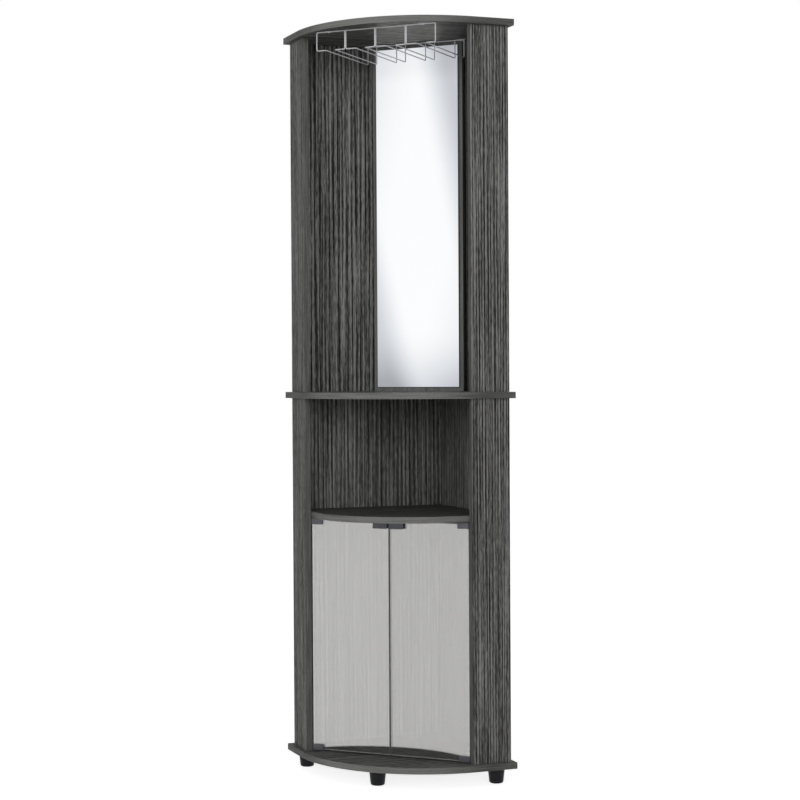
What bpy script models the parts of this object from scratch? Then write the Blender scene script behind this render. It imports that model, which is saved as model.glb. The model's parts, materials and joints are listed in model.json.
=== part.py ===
"""Corner bar cabinet: a mirror bay with a stemware rack, an open niche and a cupboard with two glass doors.

Metres, +Z up, the bowed front towards -Y, the corner of the room towards +Y. The origin is at floor level
under the middle of the cabinet's overall box.
"""

import math

import bmesh
import bpy
from mathutils import Matrix, Vector

# Boards and the plates that they stand between
BOARD = 0.015
LEG = 0.430
CHEEK = 0.105
WALL_OVERHANG = 0.010
RETURN_OVERHANG = 0.014
RETURN_WIDTH = 0.098
EDGE_ROUNDING = 0.0007
FOOT_HEIGHT = 0.037
CUPBOARD_HEIGHT = 0.569
NICHE_HEIGHT = 0.275
BAY_HEIGHT = 0.859

# Niche shelf, whose bow starts at the inner front corners of the returns
SHELF_RECESS = 0.0055

# Mirror on its board across the corner
MIRROR_BOARD_WIDTH = 0.2405
MIRROR_BOARD_RELIEF = 0.0034
MIRROR_MARGIN = 0.010
MIRROR_THICKNESS = 0.003
MIRROR_ROUNDING = 0.0008
TAPE_THICKNESS = 0.001
TAPE_SIDE_MARGIN = 0.020
TAPE_END_MARGIN = 0.030

# Stemware rack of bent wire under the top
WIRE = 0.0026
RACK_DROP = 0.0434
RACK_FRONT_SETBACK = 0.0518
RACK_MIRROR_GAP = 0.0033
RACK_WALL_GAP = 0.0175
RACK_OUTER_FOOT = 0.024
SLOT_WIDTH = 0.024
WIRE_BEND = 0.0032
TAB_LENGTH = 0.024
TAB_WIDTH = 0.011
TAB_THICKNESS = 0.0014
TAB_INSET = 0.0315
RACK_SCREW_SHANK = 0.003
RACK_SCREW_HEAD = 0.0062
RACK_SCREW_HEAD_HEIGHT = 0.0020
RACK_SCREW_LENGTH = 0.0115
CROSS_RECESS_LENGTH = 0.0034
CROSS_RECESS_WIDTH = 0.0009
CROSS_RECESS_DEPTH = 0.0010

# Board screws through the top and the base
BOARD_SCREW_SHANK = 0.005
BOARD_SCREW_HEAD = 0.010
BOARD_SCREW_CONE = 0.003
BOARD_SCREW_LENGTH = 0.045
BOARD_SCREW_TIP = 0.003
BOARD_SCREW_TIP_FLAT = 0.001
HEX_RECESS = 0.004
HEX_RECESS_DEPTH = 0.003

# Glass doors, flush with the inner front corners of the returns
GLASS = 0.005
GLASS_ROUNDING = 0.0008
DOOR_END_GAP = 0.0040
DOOR_SIDE_GAP = 0.0017
DOOR_MEETING_GAP = 0.002
DOOR_SETBACK = 0.0009
HINGE_INSET = 0.012

# Pivot clamps at the outer corners of the doors
CLAMP_LENGTH = 0.029
CLAMP_HEIGHT = 0.015
CLAMP_PLATE = 0.0025
CLAMP_WEB = 0.0022
CLAMP_ROUNDING = 0.0008
PIN_SHANK = 0.004
PIN_HEAD = 0.007
PIN_HEAD_HEIGHT = 0.0009
PIN_REACH = 0.0085
PIN_CHAMFER = 0.0006
BUSH_OUTER = 0.009
BUSH_FLANGE = 0.013
BUSH_FLANGE_HEIGHT = 0.0008
BUSH_DEPTH = 0.010
SET_SCREW = 0.004
SET_SCREW_HEX = 0.002
SET_SCREW_HEX_DEPTH = 0.0012
SET_SCREW_CHAMFER = 0.0003

# Clip handles on the top edges of the doors, at their meeting edges
HANDLE_LENGTH = 0.037
HANDLE_FROM_MEETING = 0.002
HANDLE_TOP = 0.0016
HANDLE_BACK = 0.0018
HANDLE_BACK_DROP = 0.016
HANDLE_FRONT = 0.0024
HANDLE_LIP = 0.0072
HANDLE_LIP_HEIGHT = 0.0022
HANDLE_WAIST_SHARE = 0.45
HANDLE_FRONT_DROP = 0.0195

# Magnetic catch under the niche shelf, behind the handles
CATCH_LENGTH = 0.046
CATCH_DEPTH = 0.014
CATCH_HEIGHT = 0.012
CATCH_EAR_LENGTH = 0.012
CATCH_EAR_HEIGHT = 0.0025
CATCH_ROUNDING = 0.001

# Tapered feet
FOOT_TOP = 0.0385
FOOT_BASE = 0.0325
FOOT_ROUNDING = 0.004
FOOT_INSET = 0.038
CENTRE_FOOT_INSET = 0.041
FOOT_STEM = 0.007
FOOT_STEM_LENGTH = 0.010

# Clearances
SEAT = 0.0003
OVERRUN = 0.002
WELD = 0.00001

# Facets
FRONT_STEPS = 64
BEND_STEPS = 4
SMALL_STEPS = 16
FOOT_STEPS = 24
ROUNDING_STEPS = 4
SMOOTH_ANGLE = math.radians(35)

# Sizes that follow from those above
HALF_RIGHT = math.pi / 4
DIAGONAL = math.sqrt(0.5)
BOW_RADIUS = LEG - CHEEK
BOW_CENTRE_FROM_CORNER = CHEEK / DIAGONAL
PLAN_DEPTH = BOW_CENTRE_FROM_CORNER + BOW_RADIUS
CORNER_Y = PLAN_DEPTH / 2
FRONT_Y = -PLAN_DEPTH / 2
BASE_BOTTOM = FOOT_HEIGHT
BASE_TOP = BASE_BOTTOM + BOARD
SHELF_BOTTOM = BASE_TOP + CUPBOARD_HEIGHT
SHELF_TOP = SHELF_BOTTOM + BOARD
MIDDLE_BOTTOM = SHELF_TOP + NICHE_HEIGHT
MIDDLE_TOP = MIDDLE_BOTTOM + BOARD
TOP_BOTTOM = MIDDLE_TOP + BAY_HEIGHT
TOP_TOP = TOP_BOTTOM + BOARD
INNER_WALL = WALL_OVERHANG + BOARD
RETURN_OUTER = LEG - RETURN_OVERHANG
RETURN_INNER = RETURN_OUTER - BOARD
RETURN_END = WALL_OVERHANG + RETURN_WIDTH
SIDES = {"left": -1, "right": 1}


def plan(side, out, inward):
    """A plan point: out along one side's wall edge from the corner, and inward square to that edge."""
    x = side * (out - inward) * DIAGONAL
    y = CORNER_Y - (out + inward) * DIAGONAL
    return Vector((x, y))


INNER_CORNER = plan(1, INNER_WALL, INNER_WALL)
RETURN_CORNER = plan(1, RETURN_INNER, RETURN_END)
GLASS_FRONT_Y = RETURN_CORNER.y + DOOR_SETBACK
GLASS_MIDDLE_Y = GLASS_FRONT_Y + GLASS / 2
GLASS_BACK_Y = GLASS_FRONT_Y + GLASS
GLASS_OUTER_X = RETURN_CORNER.x - DOOR_SIDE_GAP
HINGE_X = GLASS_OUTER_X - HINGE_INSET
GLASS_BOTTOM = BASE_TOP + DOOR_END_GAP
GLASS_TOP = SHELF_BOTTOM - DOOR_END_GAP
MIRROR_BOARD_FRONT_Y = INNER_CORNER.y - MIRROR_BOARD_WIDTH / 2 - MIRROR_BOARD_RELIEF - BOARD
MIRROR_FRONT_Y = MIRROR_BOARD_FRONT_Y - SEAT - TAPE_THICKNESS - SEAT - MIRROR_THICKNESS
RACK_FRONT_Y = FRONT_Y + RACK_FRONT_SETBACK
RACK_BACK_Y = MIRROR_FRONT_Y - RACK_MIRROR_GAP - WIRE / 2
RACK_TOP_Z = TOP_BOTTOM - WIRE / 2 - SEAT
RACK_RAIL_Z = RACK_TOP_Z - RACK_DROP
OUTER_RAIL_X = INNER_CORNER.y - RACK_BACK_Y - WIRE / 2 - RACK_WALL_GAP
SLOT_PITCH = (OUTER_RAIL_X - SLOT_WIDTH / 2) / 1.5
RACK_HALF_WIDTH = OUTER_RAIL_X + RACK_OUTER_FOOT
TAB_X = RACK_HALF_WIDTH - TAB_INSET


def clear_scene():
    """Removes every object that the scene starts with."""
    for obj in list(bpy.data.objects):
        bpy.data.objects.remove(obj, do_unlink=True)


def new_collection(name):
    made = bpy.data.collections.new(name)
    bpy.context.scene.collection.children.link(made)
    return made


def new_material(name, colour, roughness, metallic, alpha=1.0):
    """A plain finish: colour is linear red, green and blue."""
    material = bpy.data.materials.new(name)
    material.use_nodes = True
    shader = material.node_tree.nodes["Principled BSDF"]
    shader.inputs["Base Color"].default_value = (*colour, 1.0)
    shader.inputs["Roughness"].default_value = roughness
    shader.inputs["Metallic"].default_value = metallic
    shader.inputs["Alpha"].default_value = alpha
    material.diffuse_color = (*colour, alpha)
    return material


clear_scene()
CABINET = new_collection("corner_bar_cabinet")
CUTTERS = new_collection("cutters")

WOOD = new_material("grey_wood", (0.075, 0.075, 0.073), 0.55, 0.0)
GLASS_TINT = new_material("grey_glass", (0.42, 0.42, 0.40), 0.05, 0.0, 0.45)
SILVERED = new_material("silvered_mirror", (0.86, 0.88, 0.90), 0.03, 1.0)
CHROME = new_material("chrome_wire", (0.62, 0.62, 0.63), 0.18, 1.0)
BLACK_PLASTIC = new_material("black_plastic", (0.010, 0.011, 0.013), 0.45, 0.0)
HINGE_GREY = new_material("hinge_grey", (0.085, 0.085, 0.105), 0.40, 0.6)
STEEL = new_material("zinc_steel", (0.45, 0.45, 0.46), 0.35, 1.0)
TAPE_FOAM = new_material("tape_foam", (0.05, 0.05, 0.05), 0.9, 0.0)


def empty(name, location):
    """An empty that carries the pieces which turn about its Z axis."""
    made = bpy.data.objects.new(name, None)
    made.location = location
    CABINET.objects.link(made)
    return made


DOOR_AXES = {
    name: empty(name + "_door_axis", (side * HINGE_X, GLASS_MIDDLE_Y, GLASS_BOTTOM))
    for name, side in SIDES.items()
}


def place(obj, material, parent=None, smooth=False):
    """Links a finished object, gives it its finish and hangs it on its parent without moving it."""
    CABINET.objects.link(obj)
    obj.data.materials.append(material)
    if smooth:
        obj.data.shade_smooth()
        obj.data.set_sharp_from_angle(angle=SMOOTH_ANGLE)
    if parent is not None:
        obj.parent = parent
        obj.matrix_parent_inverse = Matrix.Translation(-parent.location)
    return obj


def object_from(name, mesh_builder):
    """A new object whose mesh is what the builder leaves in a bmesh."""
    mesh = bpy.data.meshes.new(name)
    shape = bmesh.new()
    mesh_builder(shape)
    bmesh.ops.recalc_face_normals(shape, faces=shape.faces)
    shape.to_mesh(mesh)
    shape.free()
    return bpy.data.objects.new(name, mesh)


def rounded(obj, width, segments=1):
    modifier = obj.modifiers.new("rounded edges", "BEVEL")
    modifier.width = width
    modifier.segments = segments
    modifier.limit_method = "ANGLE"
    modifier.angle_limit = SMOOTH_ANGLE


def cut(obj, cutter, label):
    """Takes a cutter's shape out of an object."""
    cutter.hide_render = True
    cutter.display_type = "WIRE"
    if cutter.name not in CUTTERS.objects:
        CUTTERS.objects.link(cutter)
    modifier = obj.modifiers.new(label, "BOOLEAN")
    modifier.operation = "DIFFERENCE"
    modifier.solver = "EXACT"
    modifier.object = cutter


def box(name, size, centre, turn=0.0):
    """A box of a given size, turned about Z at its centre."""

    def build(shape):
        bmesh.ops.create_cube(shape, size=1.0)
        bmesh.ops.scale(shape, vec=size, verts=shape.verts)

    obj = object_from(name, build)
    obj.location = centre
    obj.rotation_euler = (0.0, 0.0, turn)
    return obj


def posts(name, places, steps=SMALL_STEPS):
    """Upright cylinders or cones in one mesh: each place is (x, y, low, high, low radius, high radius)."""

    def build(shape):
        for x, y, low, high, low_radius, high_radius in places:
            bmesh.ops.create_cone(
                shape,
                cap_ends=True,
                segments=steps,
                radius1=low_radius,
                radius2=high_radius,
                depth=high - low,
                matrix=Matrix.Translation((x, y, (low + high) / 2)),
            )

    return object_from(name, build)


def outline_solid(name, points, bottom, thickness):
    """A flat outline in plan, raised to a thickness."""
    curve = bpy.data.curves.new(name + "_outline", "CURVE")
    curve.dimensions = "2D"
    curve.fill_mode = "BOTH"
    curve.extrude = thickness / 2
    spline = curve.splines.new("POLY")
    spline.points.add(len(points) - 1)
    for target, point in zip(spline.points, points):
        target.co = (point[0], point[1], 0.0, 1.0)
    spline.use_cyclic_u = True
    guide = bpy.data.objects.new(name + "_outline", curve)
    guide.location = (0.0, 0.0, bottom + thickness / 2)
    return meshed(name, guide)


def meshed(name, guide):
    """A welded mesh object in place of a curve object."""
    CABINET.objects.link(guide)
    bpy.context.view_layer.update()
    evaluated = guide.evaluated_get(bpy.context.evaluated_depsgraph_get())
    mesh = bpy.data.meshes.new_from_object(evaluated)
    mesh.name = name
    shape = bmesh.new()
    shape.from_mesh(mesh)
    bmesh.ops.remove_doubles(shape, verts=shape.verts, dist=WELD)
    bmesh.ops.recalc_face_normals(shape, faces=shape.faces)
    shape.to_mesh(mesh)
    shape.free()
    obj = bpy.data.objects.new(name, mesh)
    obj.matrix_world = guide.matrix_world
    curve = guide.data
    bpy.data.objects.remove(guide)
    bpy.data.curves.remove(curve)
    return obj


def turned(name, profile, location, steps=SMALL_STEPS, upside_down=False):
    """A turned solid: profile points (radius, height) run from the axis, out and down, back to the axis."""
    mesh = bpy.data.meshes.new(name)
    points = [(radius, 0.0, height) for radius, height in profile]
    edges = [(i, i + 1) for i in range(len(points) - 1)]
    mesh.from_pydata(points, edges, [])
    obj = bpy.data.objects.new(name, mesh)
    obj.location = location
    if upside_down:
        obj.rotation_euler = (math.pi, 0.0, 0.0)
    modifier = obj.modifiers.new("turning", "SCREW")
    modifier.steps = steps
    modifier.render_steps = steps
    modifier.use_merge_vertices = True
    modifier.merge_threshold = WELD
    return obj


def arc_points(centre, radius, start, end, steps):
    """Points on an arc, angles from +X."""
    return [
        (
            centre[0] + radius * math.cos(start + (end - start) * i / steps),
            centre[1] + radius * math.sin(start + (end - start) * i / steps),
        )
        for i in range(steps + 1)
    ]


def bent_path(corners, radius):
    """A wire's path with each inner corner replaced by an arc of the bend radius."""
    corners = [Vector(corner) for corner in corners]
    path = [corners[0]]
    for before, corner, after in zip(corners, corners[1:], corners[2:]):
        inward = (before - corner).normalized()
        outward = (after - corner).normalized()
        half = inward.angle(outward) / 2
        reach = radius / math.tan(half)
        start = corner + inward * reach
        middle = (inward + outward).normalized() * (radius / math.sin(half)) + corner
        swing = math.pi - 2 * half
        axis = (start - middle).cross(corner + outward * reach - middle).normalized()
        for i in range(BEND_STEPS + 1):
            turn = Matrix.Rotation(swing * i / BEND_STEPS, 3, axis)
            path.append(middle + turn @ (start - middle))
    path.append(corners[-1])
    return path


def wire(name, corners, diameter):
    """A bent round wire as a curve object with closed ends."""
    path = bent_path(corners, WIRE_BEND)
    curve = bpy.data.curves.new(name, "CURVE")
    curve.dimensions = "3D"
    curve.bevel_depth = diameter / 2
    curve.bevel_resolution = 2
    curve.use_fill_caps = True
    spline = curve.splines.new("POLY")
    spline.points.add(len(path) - 1)
    for target, point in zip(spline.points, path):
        target.co = (*point, 1.0)
    return bpy.data.objects.new(name, curve)


def plate_outline():
    """The plan of the full plates: two wall edges, two straight cheeks and the bow tangent to both."""
    centre = (0.0, CORNER_Y - BOW_CENTRE_FROM_CORNER)
    bow = arc_points(centre, BOW_RADIUS, -3 * HALF_RIGHT, -HALF_RIGHT, FRONT_STEPS)
    return [plan(-1, 0.0, 0.0), plan(-1, LEG, 0.0), *bow, plan(1, LEG, 0.0)]


def shelf_outline():
    """The plan of the niche shelf: between the walls and returns, bowed from one return to the other."""
    edge = INNER_WALL + SEAT
    back = plan(1, edge, edge)
    side = plan(1, RETURN_INNER - SEAT, edge)
    front = plan(1, RETURN_INNER - SEAT, RETURN_END)
    apex = FRONT_Y + SHELF_RECESS
    rise = front.y - apex
    radius = (front.x**2 + rise**2) / (2 * rise)
    swing = math.asin(front.x / radius)
    right_angle = 2 * HALF_RIGHT
    centre = (0.0, apex + radius)
    bow = arc_points(centre, radius, -right_angle - swing, -right_angle + swing, FRONT_STEPS)
    return [(back.x, back.y), (-side.x, side.y), *bow, (side.x, side.y)]


def board_screw_places():
    """Where the board screws stand in plan: the middle of each wall board and of each return."""
    wall_middle = (INNER_WALL + RETURN_INNER) / 2
    return_middle = (INNER_WALL + RETURN_END) / 2
    places = {}
    for name, side in SIDES.items():
        places[name + "_wall"] = plan(side, wall_middle, WALL_OVERHANG + BOARD / 2)
        places[name + "_return"] = plan(side, RETURN_INNER + BOARD / 2, return_middle)
    return places


def foot_places():
    """Where the feet stand in plan: near the two tips, behind the bow and in the corner."""
    left = plan(-1, LEG - FOOT_INSET, FOOT_INSET)
    right = plan(1, LEG - FOOT_INSET, FOOT_INSET)
    rear = plan(1, FOOT_INSET, FOOT_INSET)
    return {
        "left_foot": left,
        "right_foot": right,
        "rear_foot": rear,
        "centre_foot": Vector((0.0, FRONT_Y + CENTRE_FOOT_INSET)),
    }


def rack_screw_places():
    """Where the rack's screws stand in plan, by the side and by front or back."""
    places = {}
    for name, side in SIDES.items():
        places[name, "front"] = (side * TAB_X, RACK_FRONT_Y)
        places[name, "back"] = (side * TAB_X, RACK_BACK_Y)
    return places


def board_screw_holes(plate_bottom, head_side):
    """Cutters for board screws: through holes and countersinks in a plate, head_side -1 for heads below."""
    low = plate_bottom - OVERRUN
    high = plate_bottom + BOARD + OVERRUN
    shank = BOARD_SCREW_SHANK / 2 + SEAT
    head = BOARD_SCREW_HEAD / 2 + SEAT
    wide = head + (head - shank) * OVERRUN / BOARD_SCREW_CONE
    face = plate_bottom + BOARD if head_side > 0 else plate_bottom
    through, sinks = [], []
    for spot in board_screw_places().values():
        through.append((spot.x, spot.y, low, high, shank, shank))
        if head_side > 0:
            sinks.append((spot.x, spot.y, face - BOARD_SCREW_CONE, face + OVERRUN, shank, wide))
        else:
            sinks.append((spot.x, spot.y, face - OVERRUN, face + BOARD_SCREW_CONE, wide, shank))
    return through, sinks


def make_top_panel():
    panel = outline_solid("top_panel", plate_outline(), TOP_BOTTOM, BOARD)
    rounded(panel, EDGE_ROUNDING)
    through, sinks = board_screw_holes(TOP_BOTTOM, 1)
    depth = RACK_SCREW_LENGTH - TAB_THICKNESS + OVERRUN
    radius = RACK_SCREW_SHANK / 2 + SEAT
    for x, y in rack_screw_places().values():
        through.append((x, y, TOP_BOTTOM - OVERRUN, TOP_BOTTOM + depth, radius, radius))
    cut(panel, posts("top_panel_bores", through), "bores")
    cut(panel, posts("top_panel_countersinks", sinks), "countersinks")
    place(panel, WOOD)


def make_middle_panel():
    panel = outline_solid("middle_panel", plate_outline(), MIDDLE_BOTTOM, BOARD)
    rounded(panel, EDGE_ROUNDING)
    place(panel, WOOD)


def bush_bores(face, into):
    """Bores for the hinge bushes in a plate: into is 1 for a bore upwards from the face, -1 downwards."""
    radius = BUSH_OUTER / 2 + SEAT
    reach = into * (BUSH_DEPTH + SEAT)
    low, high = sorted((face - into * OVERRUN, face + reach))
    return [(side * HINGE_X, GLASS_MIDDLE_Y, low, high, radius, radius) for side in SIDES.values()]


def make_niche_shelf():
    shelf = outline_solid("niche_shelf", shelf_outline(), SHELF_BOTTOM, BOARD)
    rounded(shelf, EDGE_ROUNDING)
    cut(shelf, posts("niche_shelf_bores", bush_bores(SHELF_BOTTOM, 1)), "bores")
    place(shelf, WOOD)


def make_base_panel():
    panel = outline_solid("base_panel", plate_outline(), BASE_BOTTOM, BOARD)
    rounded(panel, EDGE_ROUNDING)
    through, sinks = board_screw_holes(BASE_BOTTOM, -1)
    radius = FOOT_STEM / 2 + SEAT
    high = BASE_BOTTOM + FOOT_STEM_LENGTH + SEAT
    for spot in foot_places().values():
        through.append((spot.x, spot.y, BASE_BOTTOM - OVERRUN, high, radius, radius))
    through.extend(bush_bores(BASE_TOP, -1))
    cut(panel, posts("base_panel_bores", through), "bores")
    cut(panel, posts("base_panel_countersinks", sinks), "countersinks")
    place(panel, WOOD)


def board_between(name, side, out, inward, low, high):
    """An upright board in the wall frame of one side, between two outs, two inwards and two heights."""
    middle = plan(side, sum(out) / 2, sum(inward) / 2)
    size = (out[1] - out[0], inward[1] - inward[0], high - low)
    board = box(name, size, (middle.x, middle.y, (low + high) / 2), -side * HALF_RIGHT)
    rounded(board, EDGE_ROUNDING)
    return board


def end_bore(board, spot, end, into):
    """A blind bore for a board screw in the end of an upright board."""
    radius = BOARD_SCREW_SHANK / 2 + SEAT
    reach = BOARD_SCREW_LENGTH - BOARD + OVERRUN
    low, high = sorted((end - into * OVERRUN, end + into * reach))
    cut(board, posts(board.name + "_bore", [(spot.x, spot.y, low, high, radius, radius)]), "bore")


def make_uprights():
    """Walls and returns of the bay above the middle panel and of the niche and cupboard below it."""
    spots = board_screw_places()
    levels = {
        "upper": (MIDDLE_TOP + SEAT, TOP_BOTTOM - SEAT, 1),
        "lower": (BASE_TOP + SEAT, MIDDLE_BOTTOM - SEAT, -1),
    }
    for level, (low, high, screwed_end) in levels.items():
        for name, side in SIDES.items():
            start = WALL_OVERHANG if side < 0 else INNER_WALL + SEAT
            depth = (WALL_OVERHANG, INNER_WALL)
            wall = board_between(f"{level}_{name}_wall", side, (start, RETURN_INNER - SEAT), depth, low, high)
            cheek = board_between(
                f"{level}_{name}_return",
                side,
                (RETURN_INNER, RETURN_OUTER),
                (WALL_OVERHANG, RETURN_END),
                low,
                high,
            )
            end = high if screwed_end > 0 else low
            end_bore(wall, spots[name + "_wall"], end, -screwed_end)
            end_bore(cheek, spots[name + "_return"], end, -screwed_end)
            place(wall, WOOD)
            place(cheek, WOOD)


def make_mirror():
    """The board across the corner, the mirror on it and the tape between them."""
    low = MIDDLE_TOP + SEAT
    high = TOP_BOTTOM - SEAT
    middle_z = (low + high) / 2
    board = box(
        "mirror_board",
        (MIRROR_BOARD_WIDTH, BOARD, high - low),
        (0.0, MIRROR_BOARD_FRONT_Y + BOARD / 2, middle_z),
    )
    rounded(board, EDGE_ROUNDING)
    place(board, WOOD)
    width = MIRROR_BOARD_WIDTH - 2 * MIRROR_MARGIN
    height = BAY_HEIGHT - 2 * MIRROR_MARGIN
    tape_front = MIRROR_FRONT_Y + MIRROR_THICKNESS + SEAT
    tape = box(
        "mirror_tape",
        (width - 2 * TAPE_SIDE_MARGIN, TAPE_THICKNESS, height - 2 * TAPE_END_MARGIN),
        (0.0, tape_front + TAPE_THICKNESS / 2, middle_z),
    )
    place(tape, TAPE_FOAM)
    size = (width, MIRROR_THICKNESS, height)
    mirror = box("mirror", size, (0.0, MIRROR_FRONT_Y + MIRROR_THICKNESS / 2, middle_z))
    rounded(mirror, MIRROR_ROUNDING)
    place(mirror, SILVERED)


def board_screw_profile():
    """Countersunk screw with its flat head up at height zero."""
    shank = BOARD_SCREW_SHANK / 2
    return [
        (0.0, 0.0),
        (BOARD_SCREW_HEAD / 2, 0.0),
        (shank, -BOARD_SCREW_CONE),
        (shank, BOARD_SCREW_TIP - BOARD_SCREW_LENGTH),
        (BOARD_SCREW_TIP_FLAT, -BOARD_SCREW_LENGTH),
        (0.0, -BOARD_SCREW_LENGTH),
    ]


def make_board_screws():
    """Screws down through the top and up through the base, with hexagon recesses."""
    ends = {"top": (TOP_TOP - SEAT, 1), "base": (BASE_BOTTOM + SEAT, -1)}
    for end, (head_z, facing) in ends.items():
        for name, spot in board_screw_places().items():
            label = f"{end}_screw_{name}"
            screw = turned(
                label, board_screw_profile(), (spot.x, spot.y, head_z), upside_down=facing < 0
            )
            low, high = sorted((head_z - facing * HEX_RECESS_DEPTH, head_z + facing * OVERRUN))
            recess = posts(
                label + "_recess", [(spot.x, spot.y, low, high, HEX_RECESS / 2, HEX_RECESS / 2)], 6
            )
            cut(screw, recess, "recess")
            place(screw, STEEL, smooth=True)


def tabbed_wire(name, corners, y):
    """A rack wire with its two flattened oval tabs, each drilled for a screw and cleared for its head."""
    bare = meshed(name, wire(name + "_path", corners, WIRE))
    low = TOP_BOTTOM - SEAT - TAB_THICKNESS
    shank = RACK_SCREW_SHANK / 2 + SEAT
    head = RACK_SCREW_HEAD / 2 + SEAT
    half = TAB_LENGTH / 2
    for side_name, side in SIDES.items():
        x = side * TAB_X
        tab = posts(f"{name}_{side_name}_tab", [(0.0, 0.0, 0.0, TAB_THICKNESS, half, half)], FOOT_STEPS)
        for vertex in tab.data.vertices:
            vertex.co.y *= TAB_WIDTH / TAB_LENGTH
        tab.location = (x, y, low)
        tab.hide_render = True
        tab.display_type = "WIRE"
        CUTTERS.objects.link(tab)
        joined = bare.modifiers.new("tab", "BOOLEAN")
        joined.operation = "UNION"
        joined.solver = "EXACT"
        joined.object = tab
        bore = posts(f"{name}_{side_name}_bore", [(x, y, low - OVERRUN, TOP_BOTTOM + OVERRUN, shank, shank)])
        cut(bare, bore, "bore")
        seat = posts(f"{name}_{side_name}_seat", [(x, y, low - OVERRUN, low, head, head)])
        cut(bare, seat, "head seat")
    return bare


def make_rack():
    """Front wire, back wire and three pairs of slot wires, hung from the top panel by screws."""
    front_corners = []
    for side in (-1, 1):
        rail = side * OUTER_RAIL_X
        post = side * RACK_HALF_WIDTH
        run = [
            (rail, RACK_BACK_Y, RACK_TOP_Z - WIRE / 2 - SEAT - WIRE / 2),
            (rail, RACK_BACK_Y, RACK_RAIL_Z),
            (rail, RACK_FRONT_Y, RACK_RAIL_Z),
            (post, RACK_FRONT_Y, RACK_RAIL_Z),
            (post, RACK_FRONT_Y, RACK_TOP_Z),
        ]
        front_corners.extend(run if side < 0 else reversed(run))
    front = tabbed_wire("rack_front_wire", front_corners, RACK_FRONT_Y)
    place(front, CHROME, smooth=True)
    overhang = OUTER_RAIL_X + WIRE / 2
    back_corners = [(-overhang, RACK_BACK_Y, RACK_TOP_Z), (overhang, RACK_BACK_Y, RACK_TOP_Z)]
    back = tabbed_wire("rack_back_wire", back_corners, RACK_BACK_Y)
    place(back, CHROME, smooth=True)
    under = RACK_TOP_Z - WIRE / 2 - SEAT
    for number in (1, 2, 3):
        centre = (number - 2) * SLOT_PITCH
        for name, side in SIDES.items():
            post = centre + side * (WIRE + SEAT) / 2
            rail = centre + side * (SLOT_PITCH - SLOT_WIDTH) / 2
            corners = [
                (post, RACK_FRONT_Y, under),
                (post, RACK_FRONT_Y, RACK_RAIL_Z),
                (rail, RACK_FRONT_Y, RACK_RAIL_Z),
                (rail, RACK_BACK_Y, RACK_RAIL_Z),
                (rail, RACK_BACK_Y, under),
            ]
            slot_wire = wire(f"rack_slot_wire_{number}_{name}", corners, WIRE)
            CABINET.objects.link(slot_wire)
            slot_wire.data.materials.append(CHROME)


def rack_screw_profile():
    """Pan-head screw with its head down: height zero is the underside of its tab."""
    head = RACK_SCREW_HEAD / 2
    shank = RACK_SCREW_SHANK / 2
    return [
        (0.0, RACK_SCREW_LENGTH),
        (shank, RACK_SCREW_LENGTH - shank),
        (shank, -SEAT),
        (head, -SEAT),
        (head, -RACK_SCREW_HEAD_HEIGHT / 2),
        (head - RACK_SCREW_HEAD_HEIGHT / 2, -RACK_SCREW_HEAD_HEIGHT),
        (0.0, -RACK_SCREW_HEAD_HEIGHT),
    ]


def make_rack_screws():
    tab_under = TOP_BOTTOM - SEAT - TAB_THICKNESS
    for (name, end), (x, y) in rack_screw_places().items():
        label = f"rack_screw_{end}_{name}"
        screw = turned(label, rack_screw_profile(), (x, y, tab_under))
        depth = CROSS_RECESS_DEPTH + OVERRUN
        centre = (x, y, tab_under - RACK_SCREW_HEAD_HEIGHT + CROSS_RECESS_DEPTH - depth / 2)
        for number, turn in enumerate((0.0, 2 * HALF_RIGHT)):
            size = (CROSS_RECESS_LENGTH, CROSS_RECESS_WIDTH, depth)
            cut(screw, box(f"{label}_recess_{number}", size, centre, turn), f"recess {number}")
        place(screw, STEEL, smooth=True)


def make_doors():
    """The two panes, each hung on its own axis."""
    for name, side in SIDES.items():
        inner = DOOR_MEETING_GAP / 2
        centre = (side * (inner + GLASS_OUTER_X) / 2, GLASS_MIDDLE_Y, (GLASS_BOTTOM + GLASS_TOP) / 2)
        pane = box(f"{name}_glass_door", (GLASS_OUTER_X - inner, GLASS, GLASS_TOP - GLASS_BOTTOM), centre)
        rounded(pane, GLASS_ROUNDING)
        place(pane, GLASS_TINT, DOOR_AXES[name])


def hinge_levels():
    """For the bottom and top hinges: the glass edge, the way out of the glass and the plate's face."""
    return {"bottom": (GLASS_BOTTOM, -1, BASE_TOP), "top": (GLASS_TOP, 1, SHELF_BOTTOM)}


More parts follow.
